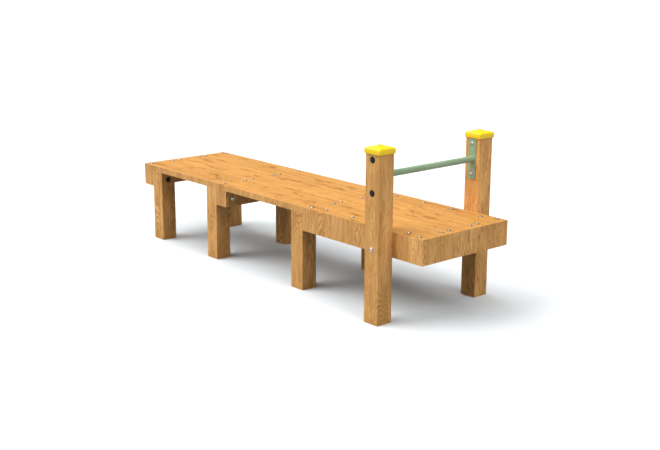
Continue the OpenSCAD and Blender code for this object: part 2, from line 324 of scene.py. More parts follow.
@dataclass(frozen=True)
class TimberStain:
    """Planed softwood with a warm amber stain.

    Upright faces show upright grain with nested growth-ring arches. Lying faces show grain along the
    bench with short dark flecks.
    """

    # Colours of the wood, and the painted light that each kind of face is multiplied by: lying faces
    # darker, upright faces lighter
    pale: Colour = (0.830, 0.460, 0.165)
    plain: Colour = (0.620, 0.315, 0.098)
    late: Colour = (0.400, 0.180, 0.046)
    fleck: Colour = (0.300, 0.112, 0.020)
    lying_painted_shade: Colour = (0.89, 0.82, 0.63)
    upright_painted_light: Colour = (1.15, 1.15, 1.14)
    # How far a normal points up or down where a face begins to count as lying, and where it does
    lying_step: Step = (0.68, 0.74)
    # Broad changes of tone, and how much calmer they are on lying faces
    tone: Mottle = Mottle((5.0, 5.0, 1.2), 1.0, (0.35, 0.70, 0.0, 0.45))
    streaks: Mottle = Mottle((36.0, 36.0, 3.6), 2.0, (0.30, 0.70), 0.6)
    bands: Mottle = Mottle((19.0, 19.0, 1.3), 1.0, (0.50, 0.66, 0.0, 0.30))
    lying_calm: float = 0.55
    # Growth rings, the wavy arches between them, and the share of both that lying faces lose
    ring_pitch: float = 0.0105
    ring_slope: float = 0.110
    ring_step: Step = (0.05, 0.95)
    ring_area: Mottle = Mottle((9.0, 9.0, 2.6), 2.0, (0.38, 0.60, 0.10, 0.85))
    pith_pitch: float = 0.125
    bend: Mottle = Mottle((6.0, 6.0, 2.2), 1.0)
    bend_reach: float = 0.16
    wander: Mottle = Mottle((23.0, 23.0, 5.0), 2.0)
    wander_reach: float = 0.034
    waves: Mottle = Mottle((15.0, 15.0, 1.7), 2.0, (0.45, 0.98, 0.0, 0.34), 0.5, 0.5)
    wave_turn: float = 60.0
    curl: Mottle = Mottle((64.0, 64.0, 11.0), 2.0, (0.56, 0.70, 0.0, 0.55), 0.6, 1.2)
    lying_loss: float = 0.72
    # Flecks in clusters and loose ones, the share of them that shows, and what lying faces add to it
    clusters: Mottle = Mottle((17.0, 17.0, 5.0), 1.0, (0.56, 0.68))
    clustered: Mottle = Mottle((110.0, 110.0, 24.0), 2.0, (0.42, 0.56), 0.6)
    loose: Mottle = Mottle((80.0, 80.0, 26.0), 1.0, (0.60, 0.74, 0.0, 0.60))
    fleck_share: float = 0.35
    lying_flecks: float = 0.50
    # Fine fibres, and how far they stand up and the late wood lies back
    fibre: Mottle = Mottle((330.0, 330.0, 9.0), 3.0, (0.25, 0.75, 0.16, -0.02), 0.62)
    fibre_relief: float = 0.6
    late_relief: float = 0.4
    relief: Bump = (0.35, 0.0006)
    # Shifts of the figure and swing of the tone from one timber to the next
    lying_shift: Triple = (0.173, 0.0, 0.057)
    upright_shift: Triple = (0.217, 0.131, 0.419)
    tone_swing: float = 0.035
    tone_stride: float = 2.4
    # Pale wear along ragged arrises, darkening near the floor, and painted shade round screw heads
    ragged: Mottle = Mottle((260.0, 260.0, 260.0), 2.0)
    ragged_reach: float = 0.003
    wear: Step = (0.0015, 0.0055, 0.22, 0.0)
    damp: Step = (0.0, 0.035, 0.22, 0.0)
    # Colour of the painted shade round screw heads, and the distances over which it fades
    screw_shade: Colour = (0.060, 0.030, 0.012)
    screw_shade_step: Step = (0.0110, 0.0165, 0.80, 0.0)
    # Roughness in patches, what wear adds to it and late wood takes from it, and the reflections
    roughness: Mottle = Mottle((7.0, 7.0, 7.0), 2.0, (0.3, 0.7, 0.50, 0.62))
    wear_roughness: float = 0.3
    late_polish: float = 0.08
    gloss: float = 0.14

    def figure(self) -> bpy.types.NodeTree:
        """Builds the group of nodes that every timber shares.

        Returns:
            A group that takes the two shifts of a timber's figure and gives its colour, its depth of
            stain and its relief.
        """
        tree = bpy.data.node_groups.new("timber_figure", "ShaderNodeTree")
        for name in ("Lying shift", "Upright shift"):
            tree.interface.new_socket(name, in_out="INPUT", socket_type="NodeSocketVector")
        for name, kind in (("Colour", "Color"), ("Late wood", "Float"), ("Relief", "Float")):
            tree.interface.new_socket(name, in_out="OUTPUT", socket_type=f"NodeSocket{kind}")
        sheet = NodeSheet(tree)
        taken, given = sheet.node("NodeGroupInput"), sheet.node("NodeGroupOutput")
        place = sheet.node("ShaderNodeTexCoord").outputs["Object"]
        facing = sheet.split(sheet.node("ShaderNodeNewGeometry").outputs["Normal"])[2]
        lying = sheet.span(sheet.math("ABSOLUTE", facing), *self.lying_step)
        along_x, across_y, up_z = sheet.split(sheet.vector("ADD", place, taken.outputs[0]))
        flat_wood = sheet.join(up_z, across_y, along_x)
        upright_wood = sheet.vector("ADD", place, taken.outputs[1])
        wood = sheet.mix(lying, upright_wood, flat_wood, kind=MixKind.VECTOR)

        late = self._late_wood(sheet, wood, lying)
        flecks = self._flecks(sheet, wood, lying)
        fibre = sheet.noise(wood, self.fibre)
        ringed = sheet.mix(late, self._ground(sheet, wood, lying), self.late)
        lined = sheet.mix(sheet.span(fibre, *self.fibre.step), ringed, self.late)
        flecked = sheet.mix(flecks, lined, self.fleck)
        # Painted light: lying faces darkened and upright faces lightened, as if lit differently
        tint = sheet.mix(lying, self.upright_painted_light, self.lying_painted_shade)
        raised = sheet.math("MULTIPLY", fibre, self.fibre_relief)
        sunk = sheet.math("MULTIPLY", late, self.late_relief)
        sheet.feed(given.inputs[0], sheet.mix(1.0, flecked, tint, "MULTIPLY"))
        sheet.feed(given.inputs[1], sheet.math("MAXIMUM", late, flecks))
        sheet.feed(given.inputs[2], sheet.math("SUBTRACT", raised, sunk))
        return tree

    def _ground(self, sheet: NodeSheet, wood: Socket, lying: Socket) -> Socket:
        """Streaks, broad tones and bands that lie under the figure.

        Args:
            sheet: The group's nodes.
            wood: Place in the wood, with the grain along Z.
            lying: Whether the face lies.

        Returns:
            The colour.
        """
        calm = sheet.math("SUBTRACT", 1.0, sheet.math("MULTIPLY", lying, self.lying_calm))
        uneven = sheet.math("SUBTRACT", sheet.noise(wood, self.streaks), 0.5)
        streaks = sheet.span(sheet.math("MULTIPLY_ADD", uneven, calm, 0.5), *self.streaks.step)
        streaked = sheet.mix(streaks, self.plain, self.pale)
        toned = sheet.mix(sheet.mottle(wood, self.tone), streaked, self.plain)
        return sheet.mix(sheet.math("MULTIPLY", sheet.mottle(wood, self.bands), calm), toned, self.late)

    def _late_wood(self, sheet: NodeSheet, wood: Socket, lying: Socket) -> Socket:
        """The strongest of the rings, the wavy arches and the curl, weaker on lying faces.

        Args:
            sheet: The group's nodes.
            wood: Place in the wood, with the grain along Z.
            lying: Whether the face lies.

        Returns:
            Share of late wood, from 0 to 1.
        """
        turn = sheet.math("MULTIPLY", sheet.noise(wood, self.waves), self.wave_turn)
        arches = sheet.span(sheet.math("SINE", turn), *self.waves.step)
        rings = sheet.math("MULTIPLY", self._rings(sheet, wood), sheet.mottle(wood, self.ring_area))
        curled = sheet.math("MAXIMUM", sheet.math("MAXIMUM", rings, arches), sheet.mottle(wood, self.curl))
        left = sheet.math("SUBTRACT", 1.0, sheet.math("MULTIPLY", lying, self.lying_loss))
        return sheet.math("MULTIPLY", curled, left)

    def _rings(self, sheet: NodeSheet, wood: Socket) -> Socket:
        """Growth rings round piths that stand in a grid.

        Args:
            sheet: The group's nodes.
            wood: Place in the wood, with the grain along Z.

        Returns:
            Share of ring, from 0 to 1.
        """
        across, through, along = sheet.split(wood)
        bend = sheet.math("SUBTRACT", sheet.noise(wood, self.bend), 0.5)
        shift = sheet.math("MULTIPLY", bend, self.bend_reach)
        squares = []
        for axis in (across, through):
            folded = sheet.math("PINGPONG", sheet.math("ADD", axis, shift), self.pith_pitch)
            offset = sheet.math("SUBTRACT", folded, self.pith_pitch / 2)
            squares.append(sheet.math("MULTIPLY", offset, offset))
        radius = sheet.math("SQRT", sheet.math("ADD", *squares))
        cone = sheet.math("ADD", radius, sheet.math("MULTIPLY", along, self.ring_slope))
        wander = sheet.math("MULTIPLY", sheet.noise(wood, self.wander), self.wander_reach)
        turn = sheet.math("MULTIPLY", sheet.math("ADD", cone, wander), 2.0 * math.pi / self.ring_pitch)
        return sheet.span(sheet.math("SINE", turn), *self.ring_step)

    def _flecks(self, sheet: NodeSheet, wood: Socket, lying: Socket) -> Socket:
        """Short dark streaks along the grain, in clusters and loose, stronger on lying faces.

        Args:
            sheet: The group's nodes.
            wood: Place in the wood, with the grain along Z.
            lying: Whether the face lies.

        Returns:
            Share of fleck, from 0 to 1.
        """
        clusters = sheet.mottle(wood, self.clusters)
        clustered = sheet.math("MULTIPLY", clusters, sheet.mottle(wood, self.clustered))
        flecks = sheet.math("MAXIMUM", clustered, sheet.mottle(wood, self.loose))
        added = sheet.math("MULTIPLY", lying, self.lying_flecks)
        return sheet.math("MULTIPLY", flecks, sheet.math("ADD", self.fleck_share, added))

    def dress(
        self, node: str, group: bpy.types.NodeTree, order: int, stands: bool, screws: Sequence[Vector]
    ) -> None:
        """Gives one timber of the frame its own stained finish.

        Args:
            node: Name of the timber's node.
            group: The shared figure.
            order: Number of the timber, which sets its shifts and its tone.
            stands: Whether the timber is a leg or a post, whose figure isn't its neighbour's.
            screws: Where the screw heads sit on it.
        """
        finish = Finish(f"stained_{node}")
        sheet = finish.sheet
        figure = sheet.node("ShaderNodeGroup")
        figure.node_tree = group
        figure.inputs[0].default_value = [order * shift for shift in self.lying_shift]
        if stands:
            figure.inputs[1].default_value = [order * shift for shift in self.upright_shift]
        rag = sheet.math("MULTIPLY", sheet.noise(finish.place, self.ragged), self.ragged_reach)
        arris = self._distance_to_arris(sheet, finish.place, Box.of(node))
        wear = sheet.span(sheet.math("ADD", arris, rag), *self.wear)
        worn = sheet.mix(wear, figure.outputs[0], self.pale)
        strength = 1.0 + self.tone_swing * math.sin(self.tone_stride * order)
        toned = sheet.mix(1.0, worn, (strength, strength, strength), "MULTIPLY")
        # Darker towards the foot, over the lowest 35 mm
        skin = sheet.mix(sheet.span(sheet.split(finish.place)[2], *self.damp), toned, self.late)
        if screws:
            # Painted shade: a dark ring on the timber round each screw head
            skin = sheet.mix(self._screw_shade(sheet, finish.place, screws), skin, self.screw_shade)
        worn_rough = sheet.math("MULTIPLY", wear, self.wear_roughness)
        rough = sheet.math("ADD", sheet.mottle(finish.place, self.roughness), worn_rough)
        polish = sheet.math("MULTIPLY", figure.outputs[1], self.late_polish)
        finish.set(Base_Color=skin, Roughness=sheet.math("SUBTRACT", rough, polish))
        finish.set(Specular_IOR_Level=self.gloss, Normal=sheet.bump(figure.outputs[2], *self.relief))
        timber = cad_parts[node]
        timber.data.materials.clear()
        timber.data.materials.append(finish.material)
        log.info("timber %s: stained", node)

    def _screw_shade(self, sheet: NodeSheet, place: Socket, screws: Sequence[Vector]) -> Socket:
        """Painted shade round the heads of screws, a dark ring on the timber where their contact shadow
        falls.

        Args:
            sheet: The material's nodes.
            place: Place on the timber.
            screws: Where the heads sit.

        Returns:
            Share of grime, from 0 to 1.
        """
        near = sheet.distance(place, screws[0])
        for screw in screws[1:]:
            near = sheet.math("MINIMUM", near, sheet.distance(place, screw))
        return sheet.span(near, *self.screw_shade_step)

    def _distance_to_arris(self, sheet: NodeSheet, place: Socket, box: Box) -> Socket:
        """Distance from a point on a square timber's skin to the nearest arris.

        Args:
            sheet: The material's nodes.
            place: Place on the timber.
            box: The timber's box.

        Returns:
            The distance in metres: the middle one of the distances to the three pairs of faces.
        """
        from_low = sheet.vector("SUBTRACT", place, tuple(box.low))
        from_high = sheet.vector("SUBTRACT", tuple(box.high), place)
        x, y, z = sheet.split(sheet.vector("MINIMUM", from_low, from_high))
        least, most = sheet.math("MINIMUM", x, y), sheet.math("MAXIMUM", x, y)
        return sheet.math("MAXIMUM", least, sheet.math("MINIMUM", most, z))


@dataclass(frozen=True)
class MottledCoat:
    """A coat in two colours with a fine relief.

    Attributes:
        name: Name of the material.
        fresh: Colour of most of it.
        dull: Colour of its patches.
        patches: Pattern of the patches.
        roughness: Step that the roughness takes over that pattern.
        grain: Pattern of the relief.
        relief: Size of the relief.
        gloss: Strength of its reflections.
        metal: Share of metal, 0 or 1.
    """

    name: str
    fresh: Colour
    dull: Colour
    patches: Mottle
    roughness: Step
    grain: Mottle
    relief: Bump
    gloss: float = 0.5
    metal: float = 0.0

    def material(self) -> Material:
        """Builds the material.

        Returns:
            The material.
        """
        finish = Finish(self.name)
        sheet = finish.sheet
        patches = sheet.noise(finish.place, self.patches)
        relief = sheet.bump(sheet.noise(finish.place, self.grain), *self.relief)
        finish.set(Base_Color=sheet.mix(sheet.span(patches, *self.patches.step), self.fresh, self.dull))
        finish.set(Roughness=sheet.span(patches, *self.roughness), Normal=relief)
        finish.set(Metallic=self.metal, Specular_IOR_Level=self.gloss)
        return finish.material


@dataclass(frozen=True)
class ZincSteel(MottledCoat):
    """Bright zinc-plated steel, a little clouded by weather."""

    name: str = "bright_zinc"
    fresh: Colour = (0.54, 0.54, 0.53)
    dull: Colour = (0.36, 0.35, 0.34)
    patches: Mottle = Mottle((90.0, 90.0, 90.0), 3.0, (0.35, 0.7), 0.6)
    roughness: Step = (0.3, 0.75, 0.20, 0.42)
    grain: Mottle = Mottle((1500.0, 1500.0, 1500.0), 2.0)
    relief: Bump = (0.12, 0.0001)
    metal: float = 1.0


@dataclass(frozen=True)
class PaintedShadeZinc(ZincSteel):
    """The deck screws' zinc, darkened where a normal's height says: painted shade at a dome's foot and a
    painted dark reflection on its top.
    """

    name: str = "deck_zinc_painted_shade"
    fresh: Colour = (0.84, 0.80, 0.74)
    dirt: Colour = (0.050, 0.036, 0.022)
    foot_dirt: Step = (0.75, 0.81, 1.0, 0.0)
    top_dirt: Step = (0.94, 0.985, 0.0, 0.9)
    painted_dark_roughness: Step = (0.0, 1.0, 0.14, 0.50)

    def material(self) -> Material:
        """Builds the material.

        Returns:
            The material.
        """
        made = super().material()
        sheet = NodeSheet(made.node_tree)
        inputs = made.node_tree.nodes["Principled BSDF"].inputs
        clean = inputs["Base Color"].links[0].from_socket
        up = sheet.split(sheet.node("ShaderNodeNewGeometry").outputs["Normal"])[2]
        # Painted shade at the dome's foot and a painted dark reflection on its top, both dull and not metal
        dirt = sheet.math("MAXIMUM", sheet.span(up, *self.foot_dirt), sheet.span(up, *self.top_dirt))
        sheet.feed(inputs["Base Color"], sheet.mix(dirt, clean, self.dirt))
        sheet.feed(inputs["Metallic"], sheet.math("SUBTRACT", 1.0, dirt))
        sheet.feed(inputs["Roughness"], sheet.span(dirt, *self.painted_dark_roughness))
        return made


@dataclass(frozen=True)
class PowderCoat(MottledCoat):
    """Satin green powder coat with a fine orange peel and paler patches here and there."""

    name: str = "green_powder_coat"
    fresh: Colour = (0.250, 0.360, 0.208)
    dull: Colour = (0.310, 0.415, 0.260)
    patches: Mottle = Mottle((14.0, 9.0, 14.0), 3.0, (0.42, 0.72), 0.6)
    roughness: Step = (0.3, 0.7, 0.50, 0.38)
    grain: Mottle = Mottle((520.0, 520.0, 520.0), 1.0)
    relief: Bump = (0.18, 0.0003)
    gloss: float = 0.4


@dataclass(frozen=True)
class MouldedPlastic(MottledCoat):
    """Weatherproof moulded plastic, dulled in places by sun and dust."""

    patches: Mottle = Mottle((26.0, 26.0, 40.0), 3.0, (0.45, 0.75), 0.6)
    roughness: Step = (0.35, 0.75, 0.26, 0.40)
    grain: Mottle = Mottle((900.0, 900.0, 900.0), 1.0)
    relief: Bump = (0.10, 0.0002)
    gloss: float = 0.28


@dataclass(frozen=True)
class Finishes:
    """The finishes that pieces share."""

    zinc: Material
    deck_zinc: Material
    green: Material
    yellow: Material
    recess_shade_yellow: Material
    black: Material

    @classmethod
    def make(cls) -> "Finishes":
        """Builds each shared material once.

        Returns:
            The finishes.
        """
        coats = (
            ZincSteel(), PaintedShadeZinc(), PowderCoat(),
            MouldedPlastic("yellow_plastic", fresh=(0.99, 0.665, 0.013), dull=(0.94, 0.610, 0.018)),
            # Dark olive yellow for the plugs: painted shade of the deep dimples they sit in
            MouldedPlastic(
                "yellow_plastic_painted_shade", fresh=(0.170, 0.125, 0.015), dull=(0.110, 0.085, 0.015),
                roughness=(0.35, 0.75, 0.45, 0.60),
            ),
            MouldedPlastic(
                "black_plastic", fresh=(0.007, 0.008, 0.006), dull=(0.012, 0.014, 0.010),
                roughness=(0.35, 0.75, 0.42, 0.58), gloss=0.14,
            ),
        )
        return cls(*(coat.material() for coat in coats))


# ---- Mesh work that the sub-assemblies share ----


@dataclass(frozen=True)
class Ring:
    """One level of a lofted piece.

    Attributes:
        height: Height along the piece's axis.
        reach: Radius of a round ring, or half the width across the flats of the others.
        outline: Shape of the ring.
        corner: Radius of a square ring's corners.
    """

    height: float
    reach: float
    outline: Outline = Outline.ROUND
    corner: float = 0.0

    def point(self, angle: float) -> tuple[float, float]:
        """Finds a point of the ring.

        Args:
            angle: Angle of the point on an even circle.

        Returns:
            X and Y of the point.
        """
        if self.outline is Outline.SQUARE:
            return self._square_point(angle)
        reach = self.reach
        if self.outline is Outline.HEXAGON:
            sixth = math.pi / 3.0
            reach /= math.cos(angle % sixth - sixth / 2.0)
        return reach * math.cos(angle), reach * math.sin(angle)

    def _square_point(self, angle: float) -> tuple[float, float]:
        """Finds a point of a square ring: half of a quarter's points lie on the corner's arc.

        Args:
            angle: Angle of the point on an even circle.

        Returns:
            X and Y of the point.
        """
        quarter, share = divmod(angle / (math.pi / 2.0) % 4.0, 1.0)
        straight = self.reach - self.corner
        if share < STRAIGHT_SHARE:
            x, y = self.reach, straight * share / STRAIGHT_SHARE
        elif share > 1.0 - STRAIGHT_SHARE:
            x, y = straight * (1.0 - share) / STRAIGHT_SHARE, self.reach
        else:
            swing = (share - STRAIGHT_SHARE) * math.pi
            x, y = straight + self.corner * math.cos(swing), straight + self.corner * math.sin(swing)
        turn = quarter * math.pi / 2.0
        return x * math.cos(turn) - y * math.sin(turn), x * math.sin(turn) + y * math.cos(turn)


@dataclass(frozen=True)
class Dome:
    """A shallow dome with an open top.

    Attributes:
        radius: Radius of the rim.
        rise: Height of the whole dome over its base.
        rim: Height of the rim.
        steps: Number of rings.
    """

    radius: float
    rise: float
    rim: float
    steps: int

    def rings(self, top_radius: float) -> list[Ring]:
        """Gives the rings on the sphere through the rim and the top.

        Args:
            top_radius: Radius of the last ring.

        Returns:
            The rings from the rim up.
        """
        bulge = self.rise - self.rim
        ball = (self.radius * self.radius + bulge * bulge) / (2.0 * bulge)
        rings = []
        for step in range(self.steps):
            reach = self.radius + (top_radius - self.radius) * step / (self.steps - 1)
            rings.append(Ring(self.rise - ball + math.sqrt(ball * ball - reach * reach), reach))
        return rings


@dataclass(frozen=True)
class SocketHead:
    """A domed head with a hexagon socket, on z = 0.

    Attributes:
        dome: The head's dome.
        edge: Size of the chamfer at its foot.
        reach: Half the socket's width across the flats.
        depth: Depth of the socket.
        mouth: Width and depth of the chamfer round the socket.
        point: Depth and share of the reach of the pit in the socket's floor.
    """

    dome: Dome
    edge: float
    reach: float
    depth: float
    mouth: tuple[float, float]
    point: tuple[float, float]

    def rings(self) -> list[Ring]:
        """Gives the rings from the head's foot to the pit in its socket.

        Returns:
            The rings.
        """
        width, depth = self.mouth
        floor = self.dome.rise - self.depth
        return [
            Ring(0.0, self.dome.radius - self.edge), Ring(self.edge, self.dome.radius),
            *self.dome.rings(self.reach + width),
            Ring(self.dome.rise - depth, self.reach, Outline.HEXAGON),
            Ring(floor, self.reach, Outline.HEXAGON),
            Ring(floor - self.point[0], self.reach * self.point[1]),
        ]


def loft(rings: Sequence[Ring], segments: int, closed: bool = False) -> Shape:
    """Bridges rings into a shell round the Z axis.

    Args:
        rings: The rings in order along the skin.
        segments: Number of points on each ring.
        closed: Whether the last ring joins the first, as on a piece with a hole through it. Otherwise
            the two end rings are filled.

    Returns:
        The closed shell, with its normals outwards.
    """
    shell = bmesh.new()
    loops = []
    for ring in rings:
        made = bmesh.ops.create_circle(shell, segments=segments, radius=ring.reach)["verts"]
        for vert in made:
            x, y = ring.point(math.atan2(vert.co.y, vert.co.x) % (2.0 * math.pi))
            vert.co = (x, y, ring.height)
        loops.append(list({edge for vert in made for edge in vert.link_edges}))
    pairs = list(zip(loops, loops[1:]))
    if closed:
        pairs.append((loops[-1], loops[0]))
    for first, second in pairs:
        bmesh.ops.bridge_loops(shell, edges=first + second)
    if not closed:
        for loop in (loops[0], loops[-1]):
            bmesh.ops.contextual_create(shell, geom=loop)
    bmesh.ops.recalc_face_normals(shell, faces=shell.faces)
    return shell


def copies(template: Shape, places: Iterable[Matrix]) -> Shape:
    """Puts a copy of a shape on each place.

    Args:
        template: The shape, which is freed.
        places: Where each copy goes.

    Returns:
        All the copies in one mesh.
    """
    pattern = bpy.data.meshes.new("pattern")
    template.to_mesh(pattern)
    template.free()
    group = bmesh.new()
    for place in places:
        start = len(group.verts)
        group.from_mesh(pattern)
        group.verts.ensure_lookup_table()
        bmesh.ops.transform(group, matrix=place, verts=group.verts[start:])
    bpy.data.meshes.remove(pattern)
    return group


def pointing(place: Vector, direction: Vector) -> Matrix:
    """Returns the matrix that turns +Z to a direction and moves the origin to a place."""
    turn = UPRIGHT.rotation_difference(direction)
    return Matrix.Translation(place) @ turn.to_matrix().to_4x4()


def added(name: str, data: bpy.types.ID) -> bpy.types.Object:
    """Adds an object to the scene.

    Args:
        name: Its name.
        data: Its mesh, light or camera.

    Returns:
        The object.
    """
    made = bpy.data.objects.new(name, data)
    bpy.context.scene.collection.objects.link(made)
    return made


def finished(shape: Shape, name: str, material: Material, node: str) -> bpy.types.Object:
    """Makes a shape into a piece that stands for a node of the frame.

    Args:
        shape: The shape, which is freed.
        name: Name of the piece.
        material: Its finish.
        node: The node that it stands for.

    Returns:
        The piece, at the origin, riding on the frame.
    """
    mesh = bpy.data.meshes.new(name)
    shape.to_mesh(mesh)
    shape.free()
    mesh.materials.append(material)
    mesh.shade_smooth()
    mesh.set_sharp_from_angle(angle=SHARP_ANGLE)
    piece = added(name, mesh)
    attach(piece, BODY)
    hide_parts(node)
    log.info("piece %s: %d faces", name, len(mesh.polygons))
    return piece


def eased_copy(node: str, ease: float, segments: int = 2) -> Shape:
    """Copies a node of the frame and breaks its sharp arrises.

    Args:
        node: Name of the node.
        ease: Width of the eased arrises.
        segments: Number of facets across them.

    Returns:
        The copy.
    """
    shape = bmesh.new()
    shape.from_mesh(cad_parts[node].data)
    bmesh.ops.remove_doubles(shape, verts=shape.verts, dist=WELD_GAP)
    bmesh.ops.dissolve_limit(shape, angle_limit=FLAT_ANGLE, verts=shape.verts, edges=shape.edges)
    sharp = [edge for edge in shape.edges if edge.is_manifold and edge.calc_face_angle(0.0) > CORNER_ANGLE]
    bmesh.ops.bevel(
        shape, geom=sharp, offset=ease, offset_type="OFFSET", segments=segments, profile=0.5,
        affect="EDGES", material=-1, clamp_overlap=True,
    )
    return shape


# ---- Sub-assemblies ----


@dataclass
class TimberWork:
    """Boards, beams, legs and posts: the frame's own solids, each stained on its own.

    Attributes:
        screws: Where the heads of the deck's screws sit.
        lying: Nodes of the timbers that lie.
        upright: Stems of the nodes of the timbers that stand.
        stain: Their finish.
    """

    screws: Sequence[Vector]
    lying: tuple[str, ...] = (
        "deck_board_front", "deck_board_middle", "deck_board_rear",
        "cross_beam_head", "cross_beam_mid", "cross_beam_seat", "cross_beam_foot",
        "side_beam_front", "side_beam_rear",
    )
    upright: tuple[str, ...] = ("leg_head", "leg_mid", "leg_seat", "post")
    stain: TimberStain = field(default_factory=TimberStain)

    def build(self) -> None:
        """Stains every timber."""
        group = self.stain.figure()
        standing = [f"{stem}_{side.stem}" for stem in self.upright for side in Side]
        for order, node in enumerate([*self.lying, *standing]):
            stands = node in standing
            self.stain.dress(node, group, order, stands, [] if stands else self._seats(node))

    def _seats(self, node: str) -> list[Vector]:
        """Finds the screw heads that sit on a timber.

        Args:
            node: Name of the timber's node.

        Returns:
            Where they sit.
        """
        box = Box.of(node)
        level = [screw for screw in self.screws if abs(screw.z - box.high.z) < MM]
        return [screw for screw in level if box.low.y < screw.y < box.high.y]


@dataclass
class PostCaps:
    """Moulded yellow caps: a lip, bulging walls, a soft shoulder, a low pyramid and a boss with a plug."""

    finishes: Finishes
    segments: int = 64
    plug_segments: int = 48
    fit: float = 0.6 * MM
    corner: float = 2 * MM
    boss_radius: float = 19.5 * MM
    dimple_radius: float = 12 * MM
    dimple_depth: float = 8 * MM
    plug_drop: float = 2.4 * MM
    screw_hole_radius: float = 3 * MM
    # Height, inset and corner radius of the rings from the lower edge to the boss, in millimetres
    outside: tuple[Triple, ...] = (
        (0.0, 2.0, 3.0), (0.5, 1.3, 3.4), (1.4, 0.9, 3.6), (2.6, 0.9, 3.8), (3.2, 1.5, 3.8),
        (3.9, 1.5, 4.0), (4.6, 0.5, 4.4), (7.0, 0.0, 4.6), (20.0, 0.0, 5.0), (23.0, 0.3, 5.4),
        (25.5, 1.0, 6.0), (27.5, 2.1, 6.8), (29.2, 3.7, 7.8), (30.6, 5.9, 8.8), (31.8, 8.8, 10.0),
        (33.0, 12.0, 12.0), (34.6, 19.0, 13.0), (36.2, 26.0, 15.0),
    )

    def build(self) -> None:
        """Makes both caps and the plugs in them."""
        for side in Side:
            node = f"post_cap_{side.stem}"
            cap, post = Box.of(node), Box.of(f"post_{side.stem}")
            half = cap.size.x / 2
            outside = [
                Ring(height * MM, half - inset * MM, Outline.SQUARE, corner * MM)
                for height, inset, corner in self.outside
            ]
            inside = self._inside(post.size.x / 2 + self.fit, post.high.z - cap.low.z)
            shell = loft([*outside, *self._boss(cap.size.z), *inside], self.segments, closed=True)
            place = Matrix.Translation((cap.centre.x, cap.centre.y, cap.low.z))
            finished(copies(shell, [place]), f"{node}_moulded", self.finishes.yellow, node)
        self._plugs()

    def _boss(self, top: float) -> list[Ring]:
        """Rings of the boss and of the dimple in it.

        Args:
            top: Height of the whole cap.

        Returns:
            The rings from the boss's foot to the hole in the dimple's floor.
        """
        boss, dimple, hole = self.boss_radius, self.dimple_radius, self.screw_hole_radius
        # Drop from the top in millimetres, and radius
        levels = (
            (3.8, boss + 3.2 * MM), (3.0, boss + 0.9 * MM), (2.0, boss), (0.7, boss - 0.9 * MM),
            (0.0, boss - 2.4 * MM), (0.0, dimple + 1.1 * MM), (0.5, dimple + 0.3 * MM), (1.4, dimple),
        )
        floor = top - self.dimple_depth
        rings = [Ring(top - drop * MM, reach) for drop, reach in levels]
        return [*rings, Ring(floor, dimple), Ring(floor, hole)]

    def _inside(self, room: float, cavity: float) -> list[Ring]:
        """Rings of the screw hole and of the space that the post fills.

        Args:
            room: Half the width of the space.
            cavity: Depth of the space.

        Returns:
            The rings from the screw hole to the lower edge.
        """
        return [
            Ring(cavity, self.screw_hole_radius),
            Ring(cavity, room - 1 * MM, Outline.SQUARE, self.corner),
            Ring(cavity - 1 * MM, room, Outline.SQUARE, self.corner),
            Ring(self.fit, room, Outline.SQUARE, self.corner),
            Ring(0.0, room + self.fit, Outline.SQUARE, self.corner + 0.4 * MM),
        ]

    def _plugs(self) -> None:
        """Makes the dished plugs that close the dimples, in a dark yellow that paints the dimples' shade.
        """
        box = Box.of("cap_plugs")
        reach = box.size.x / 2
        rise = box.size.z - self.plug_drop
        # Drop from the top and inset of the dish's rings, in millimetres
        levels = ((0.9, 0.0), (0.2, 0.5), (0.0, 1.4), (0.1, 3.2), (0.9, 5.0), (2.2, 6.6), (2.6, 8.6))
        rings = [Ring(0.0, reach - 5 * MM), Ring(0.0, reach - 0.6 * MM), Ring(0.6 * MM, reach)]
        rings += [Ring(rise - drop * MM, reach - inset * MM) for drop, inset in levels]
        caps = [Box.of(f"post_cap_{side.stem}") for side in Side]
        places = [Matrix.Translation((box.centre.x, cap.centre.y, box.low.z)) for cap in caps]
        shape = copies(loft(rings, self.plug_segments), places)
        finished(shape, "cap_plugs_moulded", self.finishes.recess_shade_yellow, "cap_plugs")


